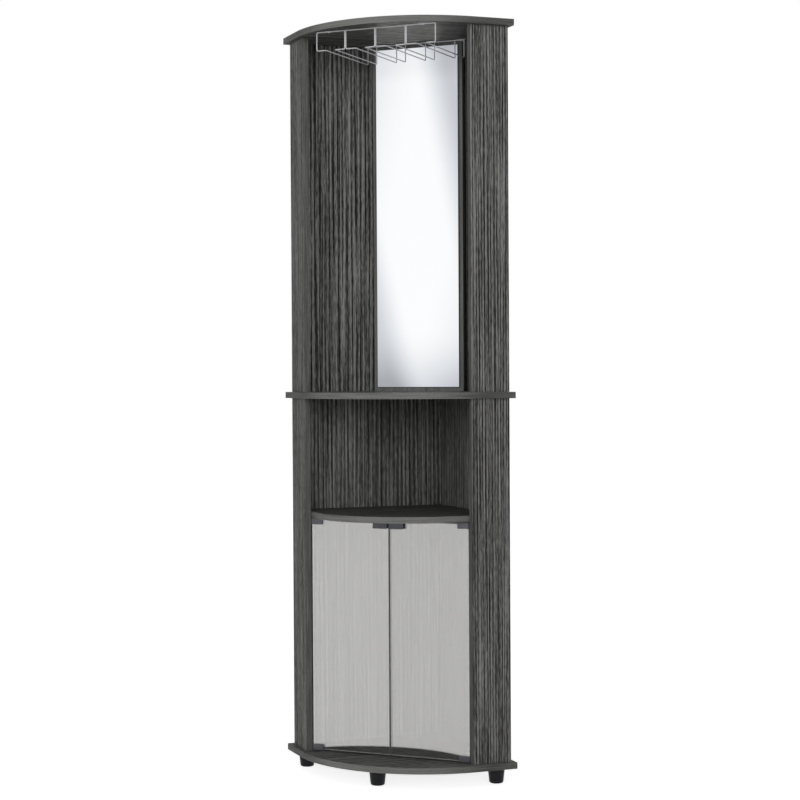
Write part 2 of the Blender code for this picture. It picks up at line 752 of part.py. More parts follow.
def make_clamps():
    """Channel clamps that grip the corners of the panes, with their pins, bushes and grub screws."""
    outer_depth = GLASS + 2 * SEAT + 2 * CLAMP_PLATE
    for name, side in SIDES.items():
        axis = DOOR_AXES[name]
        outer = GLASS_OUTER_X + SEAT
        middle_x = side * (outer - CLAMP_LENGTH / 2)
        for level, (edge, away, face) in hinge_levels().items():
            label = f"{name}_{level}"
            end = edge + away * (SEAT + CLAMP_WEB)
            centre_z = end - away * CLAMP_HEIGHT / 2
            size = (CLAMP_LENGTH, outer_depth, CLAMP_HEIGHT)
            clamp = box(f"{label}_hinge_clamp", size, (middle_x, GLASS_MIDDLE_Y, centre_z))
            rounded(clamp, CLAMP_ROUNDING, 2)
            groove_end = end - away * (CLAMP_HEIGHT + OVERRUN)
            groove_start = edge + away * SEAT
            groove = box(
                f"{label}_clamp_groove",
                (CLAMP_LENGTH + 2 * OVERRUN, GLASS + 2 * SEAT, abs(groove_start - groove_end)),
                (middle_x, GLASS_MIDDLE_Y, (groove_start + groove_end) / 2),
            )
            cut(clamp, groove, "groove")
            x, y = side * HINGE_X, GLASS_MIDDLE_Y
            shank = PIN_SHANK / 2 + SEAT
            head = PIN_HEAD / 2 + SEAT
            sink = groove_start + away * (PIN_HEAD_HEIGHT + SEAT)
            low, high = sorted((groove_start - away * OVERRUN, end + away * OVERRUN))
            cut(clamp, posts(f"{label}_pin_bore", [(x, y, low, high, shank, shank)]), "pin bore")
            low, high = sorted((groove_start - away * OVERRUN, sink))
            cut(clamp, posts(f"{label}_pin_sink", [(x, y, low, high, head, head)]), "pin sink")
            screw_z = (edge - away * (CLAMP_HEIGHT - CLAMP_WEB) + edge) / 2
            grub = SET_SCREW / 2 + SEAT
            bore = lying_post(f"{label}_grub_bore", middle_x, GLASS_BACK_Y, outer_depth, grub, screw_z)
            cut(clamp, bore, "grub bore")
            place(clamp, HINGE_GREY, axis)
            make_pin(label, x, y, groove_start, away, axis)
            make_bush(label, x, y, face, away)
            make_grub_screw(label, middle_x, screw_z, axis)


def lying_post(name, x, y, length, radius, z, steps=SMALL_STEPS):
    """A cylinder along Y that starts at y and runs towards the back."""

    def build(shape):
        bmesh.ops.create_cone(
            shape,
            cap_ends=True,
            segments=steps,
            radius1=radius,
            radius2=radius,
            depth=length,
            matrix=Matrix.Translation((x, y + length / 2, z)) @ Matrix.Rotation(2 * HALF_RIGHT, 4, "X"),
        )

    return object_from(name, build)


def make_pin(label, x, y, head_face, away, axis):
    """A headed pin whose head lies in the clamp's web and whose end turns in the bush."""
    shank = PIN_SHANK / 2
    length = PIN_HEAD_HEIGHT + CLAMP_WEB + PIN_REACH
    profile = [
        (0.0, 0.0),
        (PIN_HEAD / 2, 0.0),
        (PIN_HEAD / 2, -PIN_HEAD_HEIGHT),
        (shank, -PIN_HEAD_HEIGHT),
        (shank, PIN_CHAMFER - length),
        (shank - PIN_CHAMFER, -length),
        (0.0, -length),
    ]
    pin = turned(f"{label}_hinge_pin", profile, (x, y, head_face), upside_down=away > 0)
    place(pin, STEEL, axis, smooth=True)


def make_bush(label, x, y, face, away):
    """A flanged blind bush pressed into the plate, open towards the pin."""
    bore = PIN_SHANK / 2 + SEAT
    outer = BUSH_OUTER / 2
    flange = BUSH_FLANGE / 2
    top = BUSH_FLANGE_HEIGHT + SEAT
    clamp_end = DOOR_END_GAP - SEAT - CLAMP_WEB
    pin_depth = PIN_REACH + PIN_HEAD_HEIGHT - clamp_end
    profile = [
        (0.0, -pin_depth - SEAT),
        (bore, -pin_depth - SEAT),
        (bore, top),
        (flange, top),
        (flange, SEAT),
        (outer, SEAT),
        (outer, -BUSH_DEPTH),
        (0.0, -BUSH_DEPTH),
    ]
    bush = turned(f"{label}_hinge_bush", profile, (x, y, face), upside_down=away > 0)
    place(bush, BLACK_PLASTIC, smooth=True)


def make_grub_screw(label, x, z, axis):
    """The grub screw in the back plate of a clamp, with its hexagon recess."""
    length = CLAMP_PLATE
    radius = SET_SCREW / 2
    start = GLASS_BACK_Y + SEAT
    screw = lying_post(f"{label}_grub_screw", x, start, length, radius, z)
    rounded(screw, SET_SCREW_CHAMFER)
    recess_start = start + length - SET_SCREW_HEX_DEPTH
    recess = lying_post(
        f"{label}_grub_recess", x, recess_start, SET_SCREW_HEX_DEPTH + OVERRUN, SET_SCREW_HEX / 2, z, 6
    )
    cut(screw, recess, "recess")
    place(screw, STEEL, axis)


def handle_outline():
    """Section of a clip handle, (y, z): over the glass, down its back, and a hollowed front with a lip."""
    top = GLASS_TOP + SEAT + HANDLE_TOP
    under = GLASS_TOP + SEAT
    back = GLASS_BACK_Y + SEAT
    front = GLASS_FRONT_Y - SEAT
    foot = top - HANDLE_FRONT_DROP
    waist = top - HANDLE_FRONT_DROP * HANDLE_WAIST_SHARE
    lip = front - HANDLE_LIP
    return [
        (back + HANDLE_BACK, top),
        (front - HANDLE_FRONT, top),
        (front - HANDLE_FRONT, top - HANDLE_TOP),
        (front - HANDLE_FRONT * HANDLE_WAIST_SHARE, waist),
        (front - HANDLE_FRONT, foot + 2 * HANDLE_LIP_HEIGHT),
        (lip, foot + HANDLE_LIP_HEIGHT),
        (lip, foot),
        (front, foot),
        (front, under),
        (back, under),
        (back, top - HANDLE_BACK_DROP),
        (back + HANDLE_BACK, top - HANDLE_BACK_DROP),
    ]


def make_handles():
    for name, side in SIDES.items():
        near = DOOR_MEETING_GAP / 2 + HANDLE_FROM_MEETING
        section = outline_solid(f"{name}_handle", handle_outline(), -HANDLE_LENGTH / 2, HANDLE_LENGTH)
        centre = Vector((side * (near + HANDLE_LENGTH / 2), 0.0, 0.0))
        stand = Matrix(((0, 0, 1), (1, 0, 0), (0, 1, 0))).to_4x4()
        section.data.transform(stand)
        section.location = centre
        place(section, HINGE_GREY, DOOR_AXES[name])


def make_catch():
    """One catch body for both doors, with an ear each side against the shelf."""
    front = GLASS_BACK_Y + SEAT + HANDLE_BACK + SEAT
    top = SHELF_BOTTOM - SEAT
    long = CATCH_LENGTH / 2
    ear = long + CATCH_EAR_LENGTH
    low = top - CATCH_HEIGHT
    ledge = top - CATCH_EAR_HEIGHT
    right_half = [(long, low), (long, ledge), (ear, ledge), (ear, top)]
    left_half = [(-x, z) for x, z in reversed(right_half)]
    section = left_half + right_half
    body = outline_solid("door_catch", section, -CATCH_DEPTH / 2, CATCH_DEPTH)
    stand = Matrix(((1, 0, 0), (0, 0, -1), (0, 1, 0))).to_4x4()
    body.data.transform(stand)
    body.location = (0.0, front + CATCH_DEPTH / 2, 0.0)
    rounded(body, CATCH_ROUNDING)
    place(body, BLACK_PLASTIC)


def foot_profile():
    """Tapered foot with a rounded bottom edge and a stem on top; height zero is the floor."""
    top = FOOT_HEIGHT - SEAT
    corner = (FOOT_BASE / 2 - FOOT_ROUNDING, FOOT_ROUNDING)
    edge = arc_points(corner, FOOT_ROUNDING, 0.0, -2 * HALF_RIGHT, ROUNDING_STEPS)
    return [
        (0.0, top + FOOT_STEM_LENGTH),
        (FOOT_STEM / 2, top + FOOT_STEM_LENGTH),
        (FOOT_STEM / 2, top),
        (FOOT_TOP / 2, top),
        *edge,
        (0.0, 0.0),
    ]


def make_feet():
    for name, spot in foot_places().items():
        foot = turned(name, foot_profile(), (spot.x, spot.y, 0.0), FOOT_STEPS)
        place(foot, BLACK_PLASTIC, smooth=True)


make_top_panel()
make_middle_panel()
make_niche_shelf()
make_base_panel()
make_uprights()
make_mirror()
make_board_screws()
make_rack()
make_rack_screws()
make_doors()
make_clamps()
make_handles()
make_catch()
make_feet()
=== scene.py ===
"""Looks of the corner bar cabinet: ribbed grey boards, edge bands, glass doors, mirror and rack."""

import json
import math

import bmesh
import bpy
from mathutils import Matrix, Vector

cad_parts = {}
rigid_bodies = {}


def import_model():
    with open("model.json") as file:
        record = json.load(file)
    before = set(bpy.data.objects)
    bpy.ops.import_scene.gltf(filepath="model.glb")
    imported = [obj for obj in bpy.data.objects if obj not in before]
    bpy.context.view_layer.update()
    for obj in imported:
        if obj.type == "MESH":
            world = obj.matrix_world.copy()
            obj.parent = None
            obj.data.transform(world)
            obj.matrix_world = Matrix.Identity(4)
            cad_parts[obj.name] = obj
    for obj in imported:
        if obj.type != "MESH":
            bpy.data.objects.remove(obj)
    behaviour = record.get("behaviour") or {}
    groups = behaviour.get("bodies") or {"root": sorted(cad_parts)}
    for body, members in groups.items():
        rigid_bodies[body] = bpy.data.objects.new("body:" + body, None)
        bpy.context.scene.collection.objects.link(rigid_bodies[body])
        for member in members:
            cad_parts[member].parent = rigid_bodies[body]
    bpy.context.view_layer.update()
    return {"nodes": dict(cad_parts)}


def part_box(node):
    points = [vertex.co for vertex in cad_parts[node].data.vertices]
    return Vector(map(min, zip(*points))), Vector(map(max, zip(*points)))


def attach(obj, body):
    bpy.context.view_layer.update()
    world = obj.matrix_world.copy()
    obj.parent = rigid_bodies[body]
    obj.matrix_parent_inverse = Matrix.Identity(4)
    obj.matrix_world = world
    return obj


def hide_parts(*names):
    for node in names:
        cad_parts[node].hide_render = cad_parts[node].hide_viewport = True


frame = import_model()

# Sizes of the cabinet in metres, as the frame has them
LEG = 0.430
CHEEK = 0.105
WALL_OVERHANG = 0.010
RETURN_OVERHANG = 0.014
RETURN_WIDTH = 0.098
BOARD = 0.015
CLEARANCE = 0.0003
MIRROR_EDGE = 0.0009
WIRE = 0.0026
WIRE_BEND = 0.0032
TAB_LENGTH = 0.024
TAB_WIDTH = 0.011
TAB_THICKNESS = 0.0014

# Small sizes of the finish
BAND = 0.0006
BAND_ROUNDING = 0.0004
# Middle and reach of the painted highlight on the plates' edge band
HIGHLIGHT_MIDDLE_X = 0.012
HIGHLIGHT_REACH = (0.12, 0.25)
PANE_MIDDLE = 0.3365
PANE_ENDS = (0.20, 0.285)
# The left pane's outer rim, where a thicker coat paints a highlight
PANE_RIM_HIGHLIGHT = (0.196, 0.2055)
GLASS_EDGE = 0.0012
GLASS_CORNER = 0.0030
CLAMP_ROUNDING = 0.0009
HANDLE_BACK_DROP = 0.016
HANDLE_WALL = 0.0018
HANDLE_HOLLOW = 0.0006
HANDLE_ROUNDING = 0.0004
OUTER_FOOT = 0.024
WELD_BEAD = 0.0011
FOOT_ROUNDING = 0.004
FOOT_FLARE = 0.0014
FOOT_TAPER_SHARE = 0.800

# Facets
BOW_STEPS = 96
WIRE_SIDES = 20
BORE_SIDES = 48
BEAD_SIDES = 16
BEAD_RINGS = 10
BEND_STEPS = 8
CORNER_STEPS = 6
HOLLOW_STEPS = 12
FOOT_SIDES = 72
FOOT_STEPS = 8
SMOOTH = math.radians(35)
SHARP = math.radians(60)

# How much of a face's normal lies along an axis, from just turned to it to flat on it
TURNED = 0.2
FACING = 0.9
SQUARE = 0.99
FLAT = 0.9999

HALF_RIGHT = math.pi / 4
DIAGONAL = math.sqrt(0.5)
BOW_RADIUS = LEG - CHEEK
CORNER_Y = (CHEEK / DIAGONAL + BOW_RADIUS) / 2
TIP_LINE_Y = CORNER_Y - LEG * DIAGONAL
SIDES = {"left": -1, "right": 1}

# The photograph's camera, in degrees, metres and millimetres
CAMERA_AZIMUTH = 23.902
CAMERA_DISTANCE = 4.5646
CAMERA_HEIGHT = 0.9797
CAMERA_PITCH = -0.9203
CAMERA_ROLL = -0.3235
CAMERA_YAW = -0.0726
CAMERA_LENS = 85.03
SENSOR_WIDTH = 36.0

# The suns: strength, then width, azimuth and elevation in degrees
SUNS = {
    "front_light": (1.10, 46.0, 8.0, 3.0),
    "right_light": (1.22, 38.0, 44.0, 4.0),
    "left_light": (0.86, 38.0, -42.0, 4.0),
}
AMBIENT = 0.24
FLOOR_SIZE = 30.0
FLOOR_GLOW = 0.80

# The light thrown up by the mirror: degrees, metres, its share of the mirror's width, and watts
THROW_AZIMUTH = 24.0
THROW_ELEVATION = 32.0
THROW_HEIGHT = 0.20
THROW_SPREAD = 14.0
THROW_SHARE = 0.78
THROW_POWERS = (0.034, 0.031, 0.023)

# The graded card: its plane, its span across and up, its faded margin and its greys
CARD_Y = -0.75
CARD_X = (-0.4784, -0.2170)
CARD_Z = (0.928, 1.9245)
CARD_MARGIN = 0.35
CARD_GREYS = [(0.0, (1.0, 1.0, 1.0)), (0.3, (0.700, 0.721, 0.757)), (0.6, (0.400, 0.413, 0.440))]


def plan(side, out, inward):
    """A plan point: out from the corner along one side's wall edge, and inward square to it."""
    return Vector((side * (out - inward) * DIAGONAL, CORNER_Y - (out + inward) * DIAGONAL))


def bearing(azimuth, elevation=0.0):
    """The way that lies so many degrees to the right of straight in front, and so many up."""
    turn, rise = math.radians(azimuth), math.radians(elevation)
    reach = math.cos(rise)
    return Vector((math.sin(turn) * reach, -math.cos(turn) * reach, math.sin(rise)))


# Shader graphs


class Value:
    """A shader socket that can stand in a Python sum."""

    def __init__(self, finish, socket):
        self.finish = finish
        self.socket = socket

    def math(self, operation, *others):
        values = dict(enumerate((self, *others)))
        return self.finish.node("ShaderNodeMath", {"operation": operation}, values)

    def __add__(self, other):
        return self.math("ADD", other)

    def __radd__(self, other):
        return self.math("ADD", other)

    def __sub__(self, other):
        return self.math("SUBTRACT", other)

    def __rsub__(self, other):
        return self.math("MULTIPLY_ADD", -1.0, other)

    def __mul__(self, other):
        return self.math("MULTIPLY", other)

    def __rmul__(self, other):
        return self.math("MULTIPLY", other)

    def above(self, low, high):
        """Zero up to low, one from high, smooth between."""
        settings = {"interpolation_type": "SMOOTHSTEP"}
        return self.finish.node("ShaderNodeMapRange", settings, {"Value": self, 1: low, 2: high})


class Finish:
    """A material, built round its Principled shader."""

    def __init__(self, name):
        self.material = bpy.data.materials.new(name)
        self.material.use_nodes = True
        self.tree = self.material.node_tree
        self.surface = self.tree.nodes["Principled BSDF"]
        self.place = self.node("ShaderNodeTexCoord", output="Object")

    def node(self, kind, settings=None, values=None, output=0):
        """Adds a node: its settings first, then the values or links of its sockets."""
        added = self.tree.nodes.new(kind)
        for key, setting in (settings or {}).items():
            if key == "stops":
                self.set_stops(added.color_ramp, setting)
            else:
                setattr(added, key, setting)
        for key, value in (values or {}).items():
            self.feed(added.inputs[key], value)
        return Value(self, added.outputs[output])

    def set_stops(self, ramp, stops):
        while len(ramp.elements) < len(stops):
            ramp.elements.new(1.0)
        for element, (position, colour) in zip(ramp.elements, stops):
            element.position = position
            element.color = (*colour, 1.0)

    def feed(self, socket, value):
        if isinstance(value, Value):
            self.tree.links.new(value.socket, socket)
        else:
            socket.default_value = value

    def set(self, **values):
        """Sets or links the Principled shader's sockets, named with underscores."""
        for key, value in values.items():
            self.feed(self.surface.inputs[key.replace("_", " ")], value)

    def moved(self, turn=0.0, offset=(0.0, 0.0, 0.0), scale=(1.0, 1.0, 1.0)):
        """Object coordinates turned about Z, moved and stretched."""
        turned = self.node("ShaderNodeMapping", {}, {0: self.place, "Rotation": (0.0, 0.0, turn)})
        return self.node("ShaderNodeMapping", {}, {0: turned, "Location": offset, "Scale": scale})

    def axis(self, place, index):
        """One coordinate of a place."""
        return self.node("ShaderNodeSeparateXYZ", {}, {0: place}, index)

    def noise(self, place, detail):
        values = {"Vector": place, "Scale": 1.0, "Detail": detail}
        return self.node("ShaderNodeTexNoise", {}, values)

    def ramp(self, value, stops):
        return self.node("ShaderNodeValToRGB", {"stops": stops}, {0: value})

    def mix(self, factor, first, second):
        settings = {"data_type": "RGBA"}
        return self.node("ShaderNodeMix", settings, {0: factor, 6: first, 7: second}, 2)

    def bump(self, height, distance):
        values = {"Height": height, "Distance": distance, "Strength": 1.0}
        return self.node("ShaderNodeBump", {}, values)


# Finishes

WOOD_DARK = (0.0110, 0.0110, 0.0102)
WOOD_DEEP = (0.0360, 0.0360, 0.0343)
WOOD_MIDDLE = (0.0980, 0.0980, 0.0935)
WOOD_LIGHT = (0.2000, 0.2000, 0.1910)
WOOD_CREST = (0.2500, 0.2500, 0.2390)


def grain(finish, along, across, stretch, turn, offset, pitch):
    """Furrows, ribs, threads, flecks and clouds along one axis (0 to 2), after a turn about Z."""

    def layer(width, run, detail=0.0, shift=0.0):
        scale = [1 / width] * 3
        scale[along] = 1 / run
        place = finish.moved(turn, tuple(value + shift for value in offset), tuple(scale))
        return finish.noise(place, detail)

    def lines(phase, low, high):
        return (phase.math("PINGPONG", 0.5) * 2).above(low, high)

    # A layer has its width and run in metres, and a shift that keeps it apart from the others
    position = finish.axis(finish.moved(turn, offset), across)
    sway = (layer(0.045, 0.90) - 0.5) * 0.8 + (layer(0.013, 0.90, 0.0, 2.1) - 0.5) * 0.4
    phase = position * (stretch / pitch) + sway
    fade = layer(pitch, 0.22, 0.0, 4.3)
    furrows = lines(phase, 0.45, 0.95) * fade.above(0.15, 0.55)
    fade = layer(pitch / 2, 0.40, 0.0, 6.7)
    wander = (layer(0.010, 1.00, 0.0, 8.9) - 0.5) * 0.9
    ribs = lines(phase * 2 + wander, 0.35, 0.95) * fade.above(0.2, 0.6)
    threads = layer(0.0020, 0.300, 1.0, 3.7)
    flecks = layer(0.0021, 0.020, 2.5, 9.1)
    cloud = layer(0.060, 0.40, 1.0, 5.9)
    return furrows, ribs, threads, flecks, cloud


def wood(
    name,
    pitch,
    offset=(0.0, 0.0, 0.0),
    contrast=1.0,
    lift=0.0,
    along=2,
    across=0,
    stretch=1 / DIAGONAL,
    turn=0.0,
):
    """Printed and pressed grey wood: long dark furrows and finer ribs, with threads and flecks."""
    finish = Finish(name)
    layers = grain(finish, along, across, stretch, turn, offset, pitch)
    furrows, ribs, threads, flecks, cloud = layers
    tone = (threads - 0.5) * (1.60 * contrast) + (flecks - 0.5) * (1.20 * contrast)
    tone = tone + (cloud - 0.5) * (0.10 * contrast) + (0.77 + lift)
    tone = tone - furrows * (0.52 * contrast) - ribs * (0.24 * contrast)
    greys = [(0.08, WOOD_DARK), (0.32, WOOD_DEEP), (0.62, WOOD_MIDDLE), (1.0, WOOD_CREST)]
    finish.set(
        Base_Color=finish.ramp(tone, greys),
        Roughness=0.62 - tone * 0.12,
        Normal=finish.bump(tone, 0.00020 * contrast),
        Specular_IOR_Level=0.03,
    )
    return finish.material


def edge_wood(name, stretch, offset=(0.0, 0.0, 0.0), painted_highlight=0.0, lift=0.0):
    """Edge band: the same grey, calmer and finer along the strip; paler in a plate's middle, a
    painted highlight where the bow faces the light.
    """
    finish = Finish(name)
    away = (finish.axis(finish.place, 0) - HIGHLIGHT_MIDDLE_X).math("ABSOLUTE")
    grains = finish.noise(finish.moved(offset=offset, scale=stretch), 2.0)
    flecks = finish.noise(finish.moved(offset=offset, scale=(300.0, 300.0, 300.0)), 1.0)
    tone = (grains - 0.5) * 0.80 + (flecks - 0.5) * 0.24 + (0.62 + lift)
    # Painted highlight: the band is lighter in the plate's middle, where the bow faces the light
    tone = tone + (1 - away.above(*HIGHLIGHT_REACH)) * painted_highlight
    finish.set(
        Base_Color=finish.ramp(tone, [(0.20, WOOD_DEEP), (0.58, WOOD_MIDDLE), (0.98, WOOD_LIGHT)]),
        Roughness=0.50 - tone * 0.08,
        Normal=finish.bump(tone, 0.00006),
        Specular_IOR_Level=0.04,
    )
    return finish.material


def half_mirror_glass():
    """Grey glass with a thin reflective coat: it shows the room and, more faintly, the cupboard.

    The coat is denser at the left pane's outer rim, a painted highlight along that edge, and
    thinner at both panes' ends.
    """
    finish = Finish("half_mirror_glass")
    film = finish.noise(finish.moved(scale=(130.0, 130.0, 1.6)), 2.0)
    smear = finish.noise(finish.moved(scale=(40.0, 40.0, 9.0)), 3.0)
    across = finish.axis(finish.place, 0)
    up = finish.axis(finish.place, 2)
    ends = (up - PANE_MIDDLE).math("ABSOLUTE").above(*PANE_ENDS)
    # Painted highlight: a thicker coat makes the left pane's outer rim read bright over the shaded
    # corner behind it
    rim = (0.0 - across).above(*PANE_RIM_HIGHLIGHT)
    coat = film * 0.016 - across.above(-0.004, 0.0) * 0.012 - ends * 0.012 + rim * 0.22 + 0.304
    tint = finish.mix(film, (0.862, 0.856, 0.834, 1.0), (0.880, 0.876, 0.858, 1.0))
    finish.set(Base_Color=tint, Metallic=1.0, Roughness=0.012 + smear * 0.02, Alpha=coat)
    return finish.material


def glass_edge(name, deep, pale, roughness):
    """Edge of the glass: polished dark, or ground pale."""
    finish = Finish(name)
    ground = finish.noise(finish.moved(scale=(900.0, 900.0, 900.0)), 2.0)
    finish.set(Base_Color=finish.mix(ground, (*deep, 1.0), (*pale, 1.0)))
    finish.set(Roughness=roughness + ground * 0.12)
    return finish.material


def silvering():
    """Silvered mirror face with the faintest of veils."""
    finish = Finish("silvered_mirror")
    veil = finish.noise(finish.moved(scale=(5.0, 5.0, 3.0)), 3.0)
    finish.set(
        Base_Color=finish.mix(veil, (0.955, 0.965, 0.975, 1.0), (0.985, 0.990, 0.995, 1.0)),
        Metallic=1.0,
        Roughness=0.015 + veil * 0.02,
    )
    return finish.material


def plated_wire():
    """Satin plating with a fine haze."""
    finish = Finish("plated_wire")
    haze = finish.noise(finish.moved(scale=(260.0, 260.0, 260.0)), 3.0)
    finish.set(
        Base_Color=finish.mix(haze, (0.44, 0.44, 0.46, 1.0), (0.60, 0.60, 0.62, 1.0)),
        Metallic=0.18,
        Roughness=0.30 + haze * 0.20,
        Specular_IOR_Level=0.2,
    )
    return finish.material


def moulded_plastic(name, dark, light, pitch):
    """Near black moulded plastic with a fine spark-eroded skin."""
    finish = Finish(name)
    skin = finish.noise(finish.moved(scale=(1 / pitch,) * 3), 2.0)
    cloud = finish.noise(finish.moved(scale=(35.0, 35.0, 35.0)), 2.0)
    finish.set(
        Base_Color=finish.mix(cloud, (*dark, 1.0), (*light, 1.0)),
        Roughness=0.28 + skin * 0.16,
        Normal=finish.bump(skin, 0.00003),
        Specular_IOR_Level=0.14,
    )
    return finish.material


def hinge_metal():
    """Dark blue-grey satin metal of the clamps and clips."""
    finish = Finish("hinge_grey")
    brushing = finish.noise(finish.moved(scale=(90.0, 2400.0, 2400.0)), 2.0)
    cloud = finish.noise(finish.moved(scale=(60.0, 60.0, 60.0)), 2.0)
    finish.set(
        Base_Color=finish.mix(cloud, (0.073, 0.075, 0.086, 1.0), (0.108, 0.110, 0.122, 1.0)),
        Metallic=0.6,
        Roughness=0.34 + brushing * 0.14,
    )
    return finish.material


def zinc():
    """Passivated zinc on the screws and pins."""
    finish = Finish("zinc_steel")
    cloud = finish.noise(finish.moved(scale=(700.0, 700.0, 700.0)), 3.0)
    finish.set(
        Base_Color=finish.mix(cloud, (0.38, 0.38, 0.37, 1.0), (0.58, 0.58, 0.56, 1.0)),
        Metallic=1.0,
        Roughness=0.28 + cloud * 0.16,
    )
    return finish.material


def foam():
    """Dark closed-cell mounting tape."""
    finish = Finish("tape_foam")
    cells = finish.noise(finish.moved(scale=(1400.0, 1400.0, 1400.0)), 2.0)
    finish.set(
        Base_Color=finish.mix(cells, (0.030, 0.030, 0.030, 1.0), (0.075, 0.075, 0.074, 1.0)),
        Roughness=0.9 + cells * 0.05,
        Normal=finish.bump(cells, 0.0001),
    )
    return finish.material


# Upright boards have their grain along Z; plates have it along X after the turn of the corner
LEVEL = {"along": 0, "across": 1, "stretch": 1.0, "turn": -HALF_RIGHT}
UPPER_WALL_WOOD = wood("grey_wood_upper_wall", 0.0119, (3.1, 1.7, 0.4), 1.10)
LOWER_WALL_WOOD = wood("grey_wood_lower_wall", 0.0110, (17.3, 9.1, 5.2), 0.86, -0.03)
RETURN_WOOD = wood("grey_wood_return", 0.0075, (9.4, 4.6, 2.7), lift=0.03)
PLATE_WOOD = wood("grey_wood_plate", 0.016, contrast=0.8, lift=0.02, **LEVEL)
# The shelf's wood is the plates' made darker: painted shade for the niche under the middle panel
SHADED_SHELF_WOOD = wood("grey_wood_shelf", 0.016, (0.7, 0.3, 0.0), 0.7, -0.13, **LEVEL)
# The margin's band wood is made lighter: painted light over the shade that the returns cast on the
# mirror board
LIT_MARGIN_WOOD = edge_wood("mirror_margin_wood", (150.0, 150.0, 6.0), (2.2, 1.1, 0.6), lift=0.20)
UPRIGHT_BAND = edge_wood("edge_band_upright", (270.0, 270.0, 9.0), lift=-0.04)
# The plates' band carries a painted highlight in its middle
PLATE_BAND = edge_wood("edge_band_plate", (11.0, 11.0, 420.0), painted_highlight=0.32, lift=-0.07)
GLASS = half_mirror_glass()
POLISHED_EDGE = glass_edge(
    "polished_glass_edge", (0.100, 0.115, 0.110), (0.170, 0.190, 0.180), 0.16
)
GROUND_EDGE = glass_edge(
    "ground_glass_edge", (0.260, 0.280, 0.270), (0.360, 0.380, 0.370), 0.40
)
SILVER = silvering()
PLATING = plated_wire()
FOOT_PLASTIC = moulded_plastic(
    "foot_plastic", (0.0060, 0.0070, 0.0090), (0.0100, 0.0112, 0.0136), 0.0006
)
SMALL_PLASTIC = moulded_plastic(
    "black_plastic", (0.010, 0.011, 0.013), (0.018, 0.019, 0.022), 0.0003
)
HINGE = hinge_metal()
ZINC = zinc()
FOAM = foam()


# Modelling by hand


def clear_selection():
    if bpy.context.mode != "OBJECT":
        bpy.ops.object.mode_set(mode="OBJECT")
    bpy.ops.object.select_all(action="DESELECT")


def take(piece):
    """Selects one piece and makes it the active one."""
    clear_selection()
    piece.select_set(True)
    bpy.context.view_layer.objects.active = piece


def settle(piece, name):
    """Names a new piece and puts its place, turn and size into its mesh."""
    piece.name = name
    piece.data.name = name
    bpy.ops.object.transform_apply(location=True, rotation=True, scale=True)
    return piece


def block(name, size, centre, turn=0.0):
    """A box of a given size, turned about Z."""
    clear_selection()
    bpy.ops.mesh.primitive_cube_add(
        size=1.0, location=centre, rotation=(0.0, 0.0, turn), scale=size
    )
    return settle(bpy.context.object, name)


def drum(name, radius, depth, centre, sides, turn=(0.0, 0.0, 0.0), other_radius=None):
    """A cylinder or, with another radius at its far end, a cone."""
    clear_selection()
    bpy.ops.mesh.primitive_cone_add(
        vertices=sides,
        radius1=radius,
        radius2=radius if other_radius is None else other_radius,
        depth=depth,
        location=centre,
        rotation=turn,
    )
    return settle(bpy.context.object, name)


def pick(piece, kind, test):
    """Selects, in edit mode, the points, edges or faces that pass a test."""
    if bpy.context.mode == "OBJECT":
        take(piece)
        bpy.ops.object.mode_set(mode="EDIT")
    bpy.ops.mesh.select_mode(type=kind)
    bpy.ops.mesh.select_all(action="DESELECT")
    shape = bmesh.from_edit_mesh(piece.data)
    for item in {"VERT": shape.verts, "EDGE": shape.edges, "FACE": shape.faces}[kind]:
        if test(item):
            item.select_set(True)
    shape.select_flush_mode()
    bmesh.update_edit_mesh(piece.data)


def apply_modifier(piece, kind, **settings):
    """Adds a modifier, sets it and applies it."""
    take(piece)
    modifier = piece.modifiers.new(kind.lower(), kind)
    for key, value in settings.items():
        setattr(modifier, key, value)
    bpy.ops.object.modifier_apply(modifier=modifier.name)


def round_edges(piece, width, segments=3, angle=SMOOTH):
    apply_modifier(
        piece, "BEVEL", width=width, segments=segments, limit_method="ANGLE", angle_limit=angle
    )


def combine(piece, other, operation):
    """Joins, cuts or trims a piece with another, which is used up."""
    apply_modifier(piece, "BOOLEAN", operation=operation, solver="EXACT", object=other)
    bpy.data.objects.remove(other, do_unlink=True)


def smooth(piece):
    take(piece)
    bpy.ops.object.shade_smooth_by_angle(angle=SMOOTH)
    apply_modifier(piece, "WEIGHTED_NORMAL", keep_sharp=True)


def dress(piece, *materials):
    piece.data.materials.clear()
    for material in materials:
        piece.data.materials.append(material)


def hang(piece, body, slot, *nodes):
    """Hangs a finished piece on the body it rides on and hides the nodes it stands for; the slot is
    not used.
    """
    clear_selection()
    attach(piece, body)
    if nodes:
        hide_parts(*nodes)


def banded(board, name, material, test):
    """Wraps the faces of a board that pass a test in an edge band, which is its own piece."""
    before = set(bpy.data.objects)
    pick(board, "FACE", test)
    bpy.ops.mesh.duplicate()
    bpy.ops.mesh.separate(type="SELECTED")
    bpy.ops.object.mode_set(mode="OBJECT")
    band = (set(bpy.data.objects) - before).pop()
    band.name = name
    band.data.name = name
    apply_modifier(band, "SOLIDIFY", thickness=BAND, offset=1.0, use_even_offset=True)
    round_edges(band, BAND_ROUNDING, 2, SHARP)
    dress(band, material)
    smooth(band)
    hang(band, "cabinet", "grey_wood")
    return band


def is_side(face):
    return abs(face.normal.z) < DIAGONAL


# Plates


def corner_square(name, side, low, high):
    """A square board with one corner at the back, in the corner of the room."""
    centre = (0.0, TIP_LINE_Y, (low + high) / 2)
    return block(name, (side, side, high - low), centre, HALF_RIGHT)


